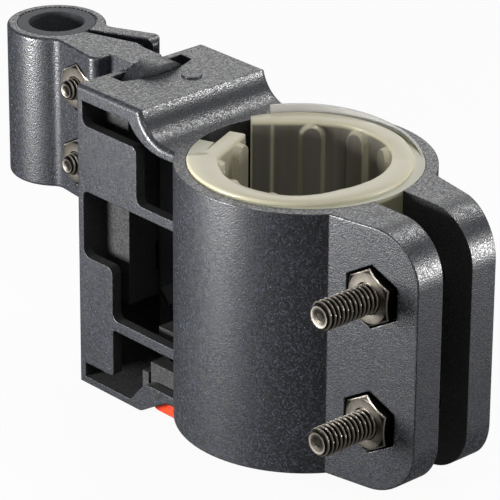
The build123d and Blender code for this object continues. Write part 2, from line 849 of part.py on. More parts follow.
# Red button cap: fills the gap between the housing's step and the ring
with BuildPart() as release_button:
    with BuildSketch(Plane.XY.offset(button_bottom)):
        add(button_plan.sketch)
    extrude(amount=button_height)
    button_foot = release_button.faces().sort_by(Axis.Z)[0]
    fillet(button_foot.edges().sort_by(Axis.X)[0], button_corner)
    fillet(release_button.faces().sort_by(Axis.Z)[0].edges().sort_by(Axis.X)[1:], button_edge)
    with BuildSketch(Plane.XY.offset(slider_bottom - peg_height)):
        for side in (1, -1):
            with Locations((peg_x, side * peg_y)):
                Circle(peg_radius + peg_gap)
    extrude(amount=peg_height, mode=Mode.SUBTRACT)
release_button.part.label = "release_button"
export_step(release_button.part, "parts/release_button.step")


# Slider on top of the button: spring bores, an arm over the guide wall and the wedge
with BuildPart() as button_slider:
    with BuildSketch(Plane.XY.offset(slider_bottom)):
        add(button_plan.sketch)
    extrude(amount=arm_top - slider_bottom)
    with BuildSketch(Plane.XY.offset(arm_under)):
        with Locations(((leaf_x + button_back_x + 1) / 2, 0)):
            Rectangle(button_back_x + 1 - leaf_x, 2 * arm_half)
    extrude(amount=arm_height)
    wedge_top = foot_knee - foot_gap
    with BuildSketch(Plane.XZ):
        with BuildLine():
            Polyline(
                (leaf_x, arm_under),
                (leaf_x, wedge_top),
                (leaf_x + wedge_run, wedge_top - wedge_run),
                (leaf_x + wedge_run, arm_under),
                close=True,
            )
        make_face()
    extrude(amount=wedge_half, both=True)
    with BuildSketch(Plane.XY.offset(slider_bottom + spring_bore_floor)):
        for side in (1, -1):
            with Locations((spring_x, side * spring_y)):
                Circle(spring_radius + spring_wire + spring_bore_gap)
    extrude(amount=arm_top - slider_bottom, mode=Mode.SUBTRACT)
    with BuildSketch(Plane.XY.offset(slider_bottom - peg_height + peg_gap)):
        for side in (1, -1):
            with Locations((peg_x, side * peg_y)):
                Circle(peg_radius)
    extrude(amount=peg_height)
button_slider.part.label = "button_slider"
export_step(button_slider.part, "parts/button_slider.step")


# Coil springs between the slider's bores and the seats on the ring
spring_foot = slider_bottom + spring_bore_floor
spring_height = seat_under - spring_foot - 2 * spring_wire
for side, side_name in ((-1, "left"), (1, "right")):
    with BuildPart() as spring:
        with BuildLine() as coil:
            Helix(
                spring_height / spring_turns,
                spring_height,
                spring_radius,
                center=(spring_x, side * spring_y, spring_foot + spring_wire),
            )
        with BuildSketch(Plane(coil.line @ 0, z_dir=coil.line % 0)):
            Circle(spring_wire)
        sweep(is_frenet=True)
    spring.part.label = f"{side_name}_button_spring"
    export_step(spring.part, f"parts/{spring.part.label}.step")


# Catch strip: hangs from its screw, with the hook in the tongue's notch and a sloped foot
hook_tip_x = tongue_apex_x - hook_reach
leaf_front_x = leaf_x + leaf_thickness
foot_slant = leaf_thickness * tan(radians(22.5))
with BuildPart() as catch_leaf:
    with BuildSketch(Plane.XZ) as leaf_side:
        with BuildLine():
            Polyline(
                (leaf_x, leaf_top),
                (leaf_x, hook_bottom + hook_height),
                (hook_tip_x, hook_bottom + hook_lip),
                (hook_tip_x, hook_bottom),
                (leaf_x, hook_bottom),
                (leaf_x, foot_knee),
                (leaf_x + foot_run, foot_knee - foot_run),
                (leaf_x + foot_run + foot_slant, foot_knee - foot_run + leaf_thickness * sqrt(2) - foot_slant),
                (leaf_front_x, foot_knee + foot_slant),
                (leaf_front_x, leaf_top - leaf_thickness),
                (leaf_x + flange_length, leaf_top - leaf_thickness),
                (leaf_x + flange_length, leaf_top),
                close=True,
            )
        make_face()
        fillet(leaf_side.vertices().filter_by(lambda v: v.Y > leaf_top - 0.01 and v.X < leaf_x + 0.01), leaf_bend)
    extrude(amount=leaf_half, both=True)
    with BuildSketch(Plane.XY.offset(leaf_top - leaf_thickness)):
        with Locations((screw_x, 0)):
            Circle(screw_radius + screw_hole_gap)
    extrude(amount=leaf_thickness, mode=Mode.SUBTRACT)
catch_leaf.part.label = "catch_leaf"
export_step(catch_leaf.part, "parts/catch_leaf.step")


# Screw that holds the strip under the plate
screw_seat = leaf_top - leaf_thickness
with BuildPart() as catch_screw:
    with BuildSketch(Plane.XY.offset(screw_seat)):
        with Locations((screw_x, 0)):
            Circle(screw_radius)
    extrude(amount=screw_length)
    with BuildSketch(Plane.XY.offset(screw_seat)):
        with Locations((screw_x, 0)):
            Circle(screw_head_radius)
    extrude(amount=-screw_head_height)
    fillet(catch_screw.faces().sort_by(Axis.Z)[0].edges(), screw_head_edge)
    with BuildSketch(Plane.XY.offset(screw_seat - screw_head_height)):
        with Locations((screw_x, 0)):
            Rectangle(2 * screw_head_radius, screw_slot)
    extrude(amount=screw_slot, mode=Mode.SUBTRACT)
catch_screw.part.label = "catch_screw"
export_step(catch_screw.part, "parts/catch_screw.step")
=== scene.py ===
"""Looks of the bike lock bracket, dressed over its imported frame.

Pieces are sized in millimetres and scaled by MM to the frame's metres; lamps are placed in metres.
The frame's origin is the centre of the tube clamp's bore. +X runs from the slide housing to the
clamp ears, +Y from the nuts to the screw heads, and +Z up along the tube.
"""

from __future__ import annotations

import logging
import math
from dataclasses import dataclass, field
from enum import Enum
from typing import Any, Sequence

import bpy
import numpy as np
from mathutils import Matrix, Vector

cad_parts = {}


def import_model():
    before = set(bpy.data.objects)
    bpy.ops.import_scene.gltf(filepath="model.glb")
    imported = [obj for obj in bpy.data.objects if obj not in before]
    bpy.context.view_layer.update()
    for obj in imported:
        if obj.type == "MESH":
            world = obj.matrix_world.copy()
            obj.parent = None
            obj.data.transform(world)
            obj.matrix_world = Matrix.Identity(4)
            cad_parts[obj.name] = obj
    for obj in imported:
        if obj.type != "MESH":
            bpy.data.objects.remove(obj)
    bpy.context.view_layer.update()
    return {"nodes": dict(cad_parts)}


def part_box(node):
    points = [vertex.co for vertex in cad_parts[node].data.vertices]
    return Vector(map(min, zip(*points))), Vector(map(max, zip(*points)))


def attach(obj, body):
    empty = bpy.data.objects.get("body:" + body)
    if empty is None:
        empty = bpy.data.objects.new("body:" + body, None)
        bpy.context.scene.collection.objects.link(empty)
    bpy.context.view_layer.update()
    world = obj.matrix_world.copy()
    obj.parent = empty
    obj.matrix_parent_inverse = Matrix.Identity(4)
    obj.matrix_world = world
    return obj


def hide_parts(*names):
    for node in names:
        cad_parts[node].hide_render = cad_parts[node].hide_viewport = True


log = logging.getLogger("bracket")

MM = 0.001
RING_HALF = 29.15

Pair = tuple[float, float]
Triple = tuple[float, float, float]

# Centre and half-sizes of the receiver's cored hollows, where the nylon is painted near black as shade:
# the slide channel with its windows, the hollow between the channel and the ring, and the slot between the
# ears.
RECEIVER_SHADE_BOXES: tuple[tuple[Triple, Triple], ...] = (
    ((-41.6, 0.0, -1.3), (10.5, 17.6, 33.3)),
    ((-22.5, 0.0, -6.6), (8.6, 17.6, 33.4)),
    ((33.0, 0.0, 0.0), (13.0, 4.25, 40.0)),
)
# X, y and radius of a cylinder round each bore, just wide enough to take in its wall, which is painted near
# black as shade.
RING_BORE: Triple = (0.0, 0.0, 24.75)
SHACKLE_BORE: Triple = (-80.3, 0.0, 8.75)


class Body(str, Enum):
    """Rigid bodies of the frame that the new pieces ride on."""

    RECEIVER = "receiver"
    LOCK_SIDE = "lock_side"


class Slot(str, Enum):
    """The record's material slots meant for the new pieces; nothing in this script uses them."""

    LINER = "liner"
    FASTENER = "fastener"


def linear(hex_colour: str) -> tuple[float, float, float, float]:
    """Turn an sRGB hex value into a linear RGBA colour.

    Args:
        hex_colour: six hex digits, with or without a leading hash.

    Returns:
        Linear red, green and blue, and an alpha of 1.
    """
    digits = hex_colour.lstrip("#")
    values = np.array([int(digits[i : i + 2], 16) / 255 for i in (0, 2, 4)])
    lin = np.where(values <= 0.04045, values / 12.92, ((values + 0.055) / 1.055) ** 2.4)
    return (float(lin[0]), float(lin[1]), float(lin[2]), 1.0)


def connect(tree: bpy.types.NodeTree, node: bpy.types.Node, inputs: dict[Any, Any]) -> None:
    """Link or set a node's inputs.

    Args:
        tree: the node tree that holds the node.
        node: the node.
        inputs: value or output socket for each named or numbered input.
    """
    for key, value in inputs.items():
        if isinstance(value, bpy.types.NodeSocket):
            tree.links.new(value, node.inputs[key])
        else:
            node.inputs[key].default_value = value


def add_node(
    tree: bpy.types.NodeTree,
    kind: str,
    settings: dict[str, Any] | None = None,
    inputs: dict[Any, Any] | None = None,
) -> bpy.types.Node:
    """Add one node, set it and link its inputs.

    Args:
        tree: the material's or world's node tree.
        kind: the node's Blender type name.
        settings: attribute values of the node.
        inputs: value or output socket for each named or numbered input.

    Returns:
        The new node.
    """
    node = tree.nodes.new(kind)
    for name, value in (settings or {}).items():
        setattr(node, name, value)
    connect(tree, node, inputs or {})
    return node


def start_material(name: str) -> tuple[bpy.types.Material, bpy.types.Node, bpy.types.NodeSocket]:
    """Start a material on Blender's standard shader.

    Args:
        name: the material's name.

    Returns:
        The material, its shader, and the socket of its Object coordinates.
    """
    mat = bpy.data.materials.new(name)
    mat.use_nodes = True
    coords = add_node(mat.node_tree, "ShaderNodeTexCoord").outputs["Object"]
    return mat, mat.node_tree.nodes["Principled BSDF"], coords


@dataclass(frozen=True)
class SparkedNylon:
    """Glass-filled nylon moulded in a spark-eroded tool: black-grey and satin, with fine glints.

    Each grain of the tool's texture has its own tone and gloss, so that light picks out some of them.
    Inside the hollows and bores the nylon is painted near black as shade, and made rougher; boxes and
    bores in Object coordinates mark them.
    """

    name: str
    shade_boxes: tuple[tuple[Triple, Triple], ...] = ()
    shade_bores: tuple[Triple, ...] = ()
    base: str = "#090B10"
    fleck: str = "#42444E"
    # Near black painted as shade inside the hollows and bores.
    painted_shade: str = "#020203"
    # The real grains are about 0.1 mm wide. They are drawn coarser, so that they show in the render.
    grain_mm: float = 0.34
    mottle_mm: float = 7.0
    mottle_share: float = 0.25
    fleck_from: float = 0.6
    fleck_full: float = 1.12
    roughness: float = 0.37
    glint: float = 0.17
    shade_matt: float = 0.4
    specular: float = 1.0
    ior: float = 1.53
    bump: float = 1.0
    # Below nought, because the pattern's distance grows from a grain's middle, which stands out.
    bump_mm: float = -0.035
    edge_mm: float = 0.35
    edge_samples: int = 6

    def shade_mask(self, tree: bpy.types.NodeTree, coords: bpy.types.NodeSocket) -> bpy.types.NodeSocket:
        """One in the boxes and bores where shade is painted, and nought elsewhere.

        Args:
            tree: the material's node tree.
            coords: the Object coordinates.

        Returns:
            The mask's socket.
        """
        axes = add_node(tree, "ShaderNodeSeparateXYZ", inputs={0: coords}).outputs
        flat = add_node(tree, "ShaderNodeCombineXYZ", inputs={0: axes[0], 1: axes[1]}).outputs[0]
        masks = []
        for centre, half in self.shade_boxes:
            sides = [
                add_node(
                    tree,
                    "ShaderNodeMath",
                    {"operation": "COMPARE"},
                    {0: axes[i], 1: centre[i] * MM, 2: half[i] * MM},
                ).outputs[0]
                for i in range(3)
            ]
            pair = add_node(
                tree, "ShaderNodeMath", {"operation": "MULTIPLY"}, {0: sides[0], 1: sides[1]}
            ).outputs[0]
            masks.append(
                add_node(tree, "ShaderNodeMath", {"operation": "MULTIPLY"}, {0: pair, 1: sides[2]})
            )
        for x, y, radius in self.shade_bores:
            reach = add_node(
                tree,
                "ShaderNodeVectorMath",
                {"operation": "DISTANCE"},
                {0: flat, 1: (x * MM, y * MM, 0.0)},
            ).outputs["Value"]
            masks.append(
                add_node(tree, "ShaderNodeMath", {"operation": "LESS_THAN"}, {0: reach, 1: radius * MM})
            )
        whole = masks[0].outputs[0]
        for mask in masks[1:]:
            whole = add_node(
                tree, "ShaderNodeMath", {"operation": "MAXIMUM"}, {0: whole, 1: mask.outputs[0]}
            ).outputs[0]
        return whole

    def build(self) -> bpy.types.Material:
        """Make the material: grains in tone, gloss and bump, a slow mottle, soft edges and painted shade in
        the hollows.
        """
        mat, shader, coords = start_material(self.name)
        tree = mat.node_tree
        cells = add_node(
            tree,
            "ShaderNodeTexVoronoi",
            {"feature": "F1"},
            {"Vector": coords, "Scale": 1 / (self.grain_mm * MM)},
        ).outputs
        tone = add_node(tree, "ShaderNodeSeparateXYZ", inputs={0: cells["Color"]}).outputs[0]
        mottle = add_node(
            tree,
            "ShaderNodeTexNoise",
            inputs={"Vector": coords, "Scale": 1 / (self.mottle_mm * MM), "Detail": 2.0},
        ).outputs["Fac"]
        mixed = add_node(
            tree,
            "ShaderNodeMath",
            {"operation": "MULTIPLY_ADD"},
            {0: mottle, 1: self.mottle_share, 2: tone},
        ).outputs[0]
        speckle = add_node(
            tree,
            "ShaderNodeMapRange",
            inputs={"Value": mixed, "From Min": self.fleck_from, "From Max": self.fleck_full},
        ).outputs["Result"]
        skin = add_node(
            tree,
            "ShaderNodeMix",
            {"data_type": "RGBA"},
            {0: speckle, 6: linear(self.base), 7: linear(self.fleck)},
        ).outputs[2]
        # Painted shade: inside the hollows and bores the colour goes near black and the roughness rises.
        shaded = self.shade_mask(tree, coords)
        colour = add_node(
            tree, "ShaderNodeMix", {"data_type": "RGBA"}, {0: shaded, 6: skin, 7: linear(self.painted_shade)}
        ).outputs[2]
        gloss = add_node(
            tree,
            "ShaderNodeMapRange",
            inputs={
                "Value": tone,
                "To Min": self.roughness + self.glint,
                "To Max": self.roughness - self.glint,
            },
        ).outputs["Result"]
        matt = add_node(
            tree, "ShaderNodeMath", {"operation": "MULTIPLY_ADD"}, {0: shaded, 1: self.shade_matt, 2: gloss}
        ).outputs[0]
        rounded = add_node(
            tree, "ShaderNodeBevel", {"samples": self.edge_samples}, {"Radius": self.edge_mm * MM}
        ).outputs["Normal"]
        normal = add_node(
            tree,
            "ShaderNodeBump",
            inputs={
                "Strength": self.bump,
                "Distance": self.bump_mm * MM,
                "Height": cells["Distance"],
                "Normal": rounded,
            },
        ).outputs["Normal"]
        connect(tree, shader, {"Base Color": colour, "Roughness": matt, "Normal": normal})
        connect(tree, shader, {"Specular IOR Level": self.specular, "IOR": self.ior})
        return mat


@dataclass(frozen=True)
class ClearVinyl:
    """Injection-moulded clear soft vinyl: cream at its edges, and dark where black shows through it.

    A point attribute mixes the two as painted light and highlight: all cream on the flange, painted
    highlights along the ribs' edges, and little painted light on the flat wall in front of the black ring.
    """

    name: str = "clear_soft_vinyl"
    through: str = "#716E66"
    # Cream, mixed in where the liner's light and highlights are painted.
    edge: str = "#DAD4B8"
    edge_from: float = 0.08
    edge_full: float = 1.06
    cloud_mm: float = 1.6
    cloud_stretch: Triple = (1.0, 1.0, 0.06)
    cloud_share: float = 0.16
    bump: float = 0.15
    bump_mm: float = 0.1
    roughness: float = 0.3
    ior: float = 1.5

    def build(self) -> bpy.types.Material:
        """Make the material: the painted light mixes the two colours, under a faint upright ripple."""
        mat, shader, coords = start_material(self.name)
        tree = mat.node_tree
        # Painted light and highlight, read from the liner's point attribute.
        painted_light = add_node(tree, "ShaderNodeAttribute", {"attribute_name": "painted_light"}).outputs["Fac"]
        streaks = add_node(
            tree, "ShaderNodeMapping", inputs={"Vector": coords, "Scale": self.cloud_stretch}
        ).outputs["Vector"]
        cloud = add_node(
            tree,
            "ShaderNodeTexNoise",
            inputs={"Vector": streaks, "Scale": 1 / (self.cloud_mm * MM), "Detail": 2.0},
        ).outputs["Fac"]
        level = add_node(
            tree,
            "ShaderNodeMath",
            {"operation": "MULTIPLY_ADD"},
            {0: cloud, 1: self.cloud_share, 2: painted_light},
        ).outputs[0]
        shown = add_node(
            tree,
            "ShaderNodeMapRange",
            inputs={"Value": level, "From Min": self.edge_from, "From Max": self.edge_full},
        ).outputs["Result"]
        colour = add_node(
            tree,
            "ShaderNodeMix",
            {"data_type": "RGBA"},
            {0: shown, 6: linear(self.through), 7: linear(self.edge)},
        ).outputs[2]
        normal = add_node(
            tree,
            "ShaderNodeBump",
            inputs={"Strength": self.bump, "Distance": self.bump_mm * MM, "Height": cloud},
        ).outputs["Normal"]
        connect(tree, shader, {"Base Color": colour, "Normal": normal})
        connect(tree, shader, {"Roughness": self.roughness, "IOR": self.ior})
        return mat


@dataclass(frozen=True)
class SmokedVinyl:
    """The outer liner's soft vinyl: khaki down its side, cream on its rim, and near white painted as a
    highlight where it is raised.

    The raised rim stands clear of the black ring, so it also lets some light through.
    """

    name: str = "smoked_soft_vinyl"
    side: str = "#8E8C70"
    rim: str = "#C6C5AE"
    # Near white painted as a highlight on the raised crest.
    crest: str = "#F1F0EC"
    rim_z: float = RING_HALF - 0.5
    rim_fade: float = 0.5
    crest_z: float = RING_HALF + 0.5
    crest_fade: float = 0.3
    clearness: float = 0.25
    cloud_mm: float = 5.0
    cloud_share: float = -0.15
    roughness: float = 0.25
    ior: float = 1.5

    def build(self) -> bpy.types.Material:
        """Make the material: the colour follows the height, with a faint cloudiness and a painted highlight
        on the crest.
        """
        mat, shader, coords = start_material(self.name)
        tree = mat.node_tree
        height = add_node(tree, "ShaderNodeSeparateXYZ", inputs={0: coords}).outputs[2]
        share = add_node(
            tree,
            "ShaderNodeMapRange",
            inputs={
                "Value": height,
                "From Min": (self.rim_z - self.rim_fade) * MM,
                "From Max": self.rim_z * MM,
            },
        ).outputs["Result"]
        cloud = add_node(
            tree,
            "ShaderNodeTexNoise",
            inputs={"Vector": coords, "Scale": 1 / (self.cloud_mm * MM), "Detail": 3.0},
        ).outputs["Fac"]
        level = add_node(
            tree, "ShaderNodeMath", {"operation": "MULTIPLY_ADD"}, {0: cloud, 1: self.cloud_share, 2: share}
        ).outputs[0]
        colour = add_node(
            tree,
            "ShaderNodeMix",
            {"data_type": "RGBA"},
            {0: level, 6: linear(self.side), 7: linear(self.rim)},
        ).outputs[2]
        # Painted highlight on the crest: the colour goes near white there, and some light really passes
        # through.
        raised = add_node(
            tree,
            "ShaderNodeMapRange",
            inputs={
                "Value": height,
                "From Min": (self.crest_z - self.crest_fade) * MM,
                "From Max": self.crest_z * MM,
            },
        ).outputs["Result"]
        tinted = add_node(
            tree, "ShaderNodeMix", {"data_type": "RGBA"}, {0: raised, 6: colour, 7: linear(self.crest)}
        ).outputs[2]
        clear = add_node(
            tree, "ShaderNodeMath", {"operation": "MULTIPLY"}, {0: raised, 1: self.clearness}
        ).outputs[0]
        connect(tree, shader, {"Base Color": tinted, "Transmission Weight": clear})
        connect(tree, shader, {"Roughness": self.roughness, "IOR": self.ior})
        return mat


@dataclass(frozen=True)
class MouldedSkin:
    """Moulded plastic or rubber whose fine skin shows in its colour and bump."""

    name: str
    base: str
    dark: str
    roughness: float
    ior: float
    grain_mm: float = 0.6
    dark_to: float = 0.35
    base_from: float = 0.65
    bump: float = 0.14
    bump_mm: float = 0.05

    def build(self) -> bpy.types.Material:
        """Make the material: the skin's high spots have the base colour, and its low spots the dark one."""
        mat, shader, coords = start_material(self.name)
        tree = mat.node_tree
        skin = add_node(
            tree,
            "ShaderNodeTexNoise",
            inputs={"Vector": coords, "Scale": 1 / (self.grain_mm * MM), "Detail": 2.0},
        ).outputs["Fac"]
        share = add_node(
            tree,
            "ShaderNodeMapRange",
            inputs={"Value": skin, "From Min": self.dark_to, "From Max": self.base_from},
        ).outputs["Result"]
        colour = add_node(
            tree,
            "ShaderNodeMix",
            {"data_type": "RGBA"},
            {0: share, 6: linear(self.dark), 7: linear(self.base)},
        ).outputs[2]
        normal = add_node(
            tree,
            "ShaderNodeBump",
            inputs={"Strength": self.bump, "Distance": self.bump_mm * MM, "Height": skin},
        ).outputs["Normal"]
        connect(tree, shader, {"Base Color": colour, "Normal": normal})
        connect(tree, shader, {"Roughness": self.roughness, "IOR": self.ior})
        return mat


@dataclass(frozen=True)
class GreyRubber(MouldedSkin):
    """Moulded rubber: dull dark grey with a fine matt skin."""

    name: str = "moulded_rubber"
    base: str = "#54555A"
    dark: str = "#414247"
    roughness: float = 0.6
    ior: float = 1.52


@dataclass(frozen=True)
class RedButton(MouldedSkin):
    """Moulded ABS in signal red-orange with a satin skin."""

    name: str = "moulded_abs"
    base: str = "#F4451F"
    dark: str = "#E03A18"
    roughness: float = 0.35
    ior: float = 1.54


@dataclass(frozen=True)
class PlatedSteel:
    """Machine screw steel plated black nickel: bright worn crests and edges over near-black flanks.

    The attribute "wear" is one on the edges that rub bright, and nought in the valleys.
    """

    name: str = "black_nickel_steel"
    bright: str = "#D6CDBF"
    dark: str = "#26221F"
    worn_from: float = 0.4
    worn_full: float = 1.15
    patch_mm: float = 1.3
    patch_share: float = 0.3
    roughness: float = 0.34

    def build(self) -> bpy.types.Material:
        """Make the material: metal whose plating is worn by the attribute and in small patches."""
        mat, shader, coords = start_material(self.name)
        tree = mat.node_tree
        wear = add_node(tree, "ShaderNodeAttribute", {"attribute_name": "wear"}).outputs["Fac"]
        patch = add_node(
            tree,
            "ShaderNodeTexNoise",
            inputs={"Vector": coords, "Scale": 1 / (self.patch_mm * MM), "Detail": 3.0, "Roughness": 0.6},
        ).outputs["Fac"]
        level = add_node(
            tree, "ShaderNodeMath", {"operation": "MULTIPLY_ADD"}, {0: patch, 1: self.patch_share, 2: wear}
        ).outputs[0]
        share = add_node(
            tree,
            "ShaderNodeMapRange",
            inputs={"Value": level, "From Min": self.worn_from, "From Max": self.worn_full},
        ).outputs["Result"]
        colour = add_node(
            tree,
            "ShaderNodeMix",
            {"data_type": "RGBA"},
            {0: share, 6: linear(self.dark), 7: linear(self.bright)},
        ).outputs[2]
        connect(tree, shader, {"Base Color": colour, "Metallic": 1.0, "Roughness": self.roughness})
        return mat


@dataclass(frozen=True)
class SpringSteel:
    """Bright drawn and rolled spring steel."""

    name: str = "spring_steel"
    base: str = "#8B8C8E"
    dark: str = "#7C7D80"
    streak_mm: float = 0.3
    streak_stretch: Triple = (1.0, 1.0, 0.08)
    roughness: float = 0.32

    def build(self) -> bpy.types.Material:
        """Make the material: metal with a faint drawn streak."""
        mat, shader, coords = start_material(self.name)
        tree = mat.node_tree
        drawn = add_node(
            tree, "ShaderNodeMapping", inputs={"Vector": coords, "Scale": self.streak_stretch}
        ).outputs["Vector"]
        streak = add_node(
            tree,
            "ShaderNodeTexNoise",
            inputs={"Vector": drawn, "Scale": 1 / (self.streak_mm * MM), "Detail": 2.0},
        ).outputs["Fac"]
        colour = add_node(
            tree,
            "ShaderNodeMix",
            {"data_type": "RGBA"},
            {0: streak, 6: linear(self.dark), 7: linear(self.base)},
        ).outputs[2]
        connect(tree, shader, {"Base Color": colour, "Metallic": 1.0, "Roughness": self.roughness})
        return mat


def follow(table: tuple[Pair, ...], at: np.ndarray) -> np.ndarray:
    """Read a table of places and values in straight lines between its rows.

    Args:
        table: rows of a place and its value, by rising place.
        at: the places to read.

    Returns:
        The value at each place.
    """
    places, values = np.transpose(table)
    return np.interp(at, places, values)


def smoothed(values: np.ndarray, weights: np.ndarray) -> np.ndarray:
    """Take the weighted mean of each number and its neighbours, with the end numbers repeated.

    Args:
        values: a row of numbers.
        weights: an odd count of weights.

    Returns:
        As many numbers as before.
    """
    padded = np.pad(values, len(weights) // 2, mode="edge")
    return np.convolve(padded, weights / weights.sum(), mode="valid")


def hexagon(flats: float, angle: np.ndarray) -> np.ndarray:
    """Radius of a hexagon: half its width over flats, over the cosine of the angle from a flat's middle.

    Args:
        flats: the width over flats.
        angle: angles in radians.

    Returns:
        The radius at each angle.
    """
    sixth = math.pi / 3
    return flats / 2 / np.cos((angle + sixth / 2) % sixth - sixth / 2)


def turned_points(
    rings: Sequence[tuple[Any, Any, Any]], angle: np.ndarray, axis_x: float, start_y: float, axis_z: float
) -> tuple[np.ndarray, np.ndarray]:
    """Points of rings round an axis along Y: x and z follow the radius times cosine and sine.

    Args:
        rings: distance along the axis, radius and wear of each ring, as numbers or a row by angle.
        angle: the rings' angles in radians.
        axis_x: the axis's x.
        start_y: the y from which the distance counts.
        axis_z: the axis's z.

    Returns:
        The points ring by ring, and an array of the wear at each.
    """
    along, radius, wear = (
        np.array([np.broadcast_to(ring[i], angle.shape) for ring in rings]) for i in range(3)
    )
    points = np.stack(
        [axis_x + radius * np.cos(angle), start_y + along, axis_z + radius * np.sin(angle)], axis=-1
    )
    return points.reshape(-1, 3), wear


def grid_faces(
    rows: int, columns: int, wrap_rows: bool = False, wrap_columns: bool = False
) -> list[list[int]]:
    """Quads of a grid of points numbered row by row.

    Args:
        rows: number of rows.
        columns: number of columns.
        wrap_rows: join the last row to the first.
        wrap_columns: join the last column to the first.

    Returns:
        Four point numbers for each face.
    """
    row = np.arange(rows if wrap_rows else rows - 1)
    column = np.arange(columns if wrap_columns else columns - 1)
    r, c = np.meshgrid(row, column, indexing="ij")
    r1, c1 = (r + 1) % rows, (c + 1) % columns
    quads = np.stack([r * columns + c, r1 * columns + c, r1 * columns + c1, r * columns + c1], axis=-1)
    return quads.reshape(-1, 4).tolist()


def outwards(points: np.ndarray, faces: list[list[int]]) -> list[list[int]]:
    """Turn a closed shell's faces outwards, by the sign of the volume that its quads enclose.

    Args:
        points: the shell's points.
        faces: point numbers of each face, all turned the same way.

    Returns:
        The faces as they were, or each one reversed.
    """
    middle = points.mean(axis=0)
    quads = np.array([f for f in faces if len(f) == 4])
    a, b, c, d = (points[quads[:, i]] - middle for i in range(4))
    volume = np.sum(np.cross(a, b) * c) + np.sum(np.cross(a, c) * d)
    return faces if volume > 0 else [f[::-1] for f in faces]


def make_mesh(
    name: str,
    points: np.ndarray,
    faces: Sequence[Sequence[int]],
    smooth: float | None = None,
    values: dict[str, np.ndarray] | None = None,
) -> bpy.types.Object:
    """Make one object from points in millimetres and faces that turn outwards.

    Args:
        name: the piece's name.
        points: an array of x, y and z in millimetres, in the frame's axes.
        faces: point numbers of each face.
        smooth: angle in degrees under which edges look smooth, or None for flat faces.
        values: numbers for each point, by attribute name.

    Returns:
        The new object, at the origin.
    """
    mesh = bpy.data.meshes.new(name)
    mesh.from_pydata((points * MM).tolist(), [], faces)
    mesh.update()
    for key, numbers in (values or {}).items():
        layer = mesh.attributes.new(key, "FLOAT", "POINT")
        layer.data.foreach_set("value", np.asarray(numbers, dtype=np.float32).ravel())
    obj = bpy.data.objects.new(name, mesh)
    bpy.context.scene.collection.objects.link(obj)
    if smooth is not None:
        mesh.shade_smooth()
        mesh.set_sharp_from_angle(angle=math.radians(smooth))
    return obj


def dress(obj: bpy.types.Object, material: bpy.types.Material) -> None:
    """Give an object one material, in every slot that it has."""
    if not obj.material_slots:
        obj.data.materials.append(material)
        return
    for slot in obj.material_slots:
        slot.material = material


@dataclass
class Finishes:
    """Every material of the bracket, built once."""

    receiver: bpy.types.Material = field(
        default_factory=lambda: SparkedNylon("glass_filled_nylon", RECEIVER_SHADE_BOXES, (RING_BORE,)).build()
    )
    lock: bpy.types.Material = field(
        default_factory=lambda: SparkedNylon("glass_filled_nylon_clamp", (), (SHACKLE_BORE,)).build()
    )
    clear_vinyl: bpy.types.Material = field(default_factory=lambda: ClearVinyl().build())
    smoked_vinyl: bpy.types.Material = field(default_factory=lambda: SmokedVinyl().build())
    rubber: bpy.types.Material = field(default_factory=lambda: GreyRubber().build())
    steel: bpy.types.Material = field(default_factory=lambda: PlatedSteel().build())
    spring: bpy.types.Material = field(default_factory=lambda: SpringSteel().build())
    button: bpy.types.Material = field(default_factory=lambda: RedButton().build())


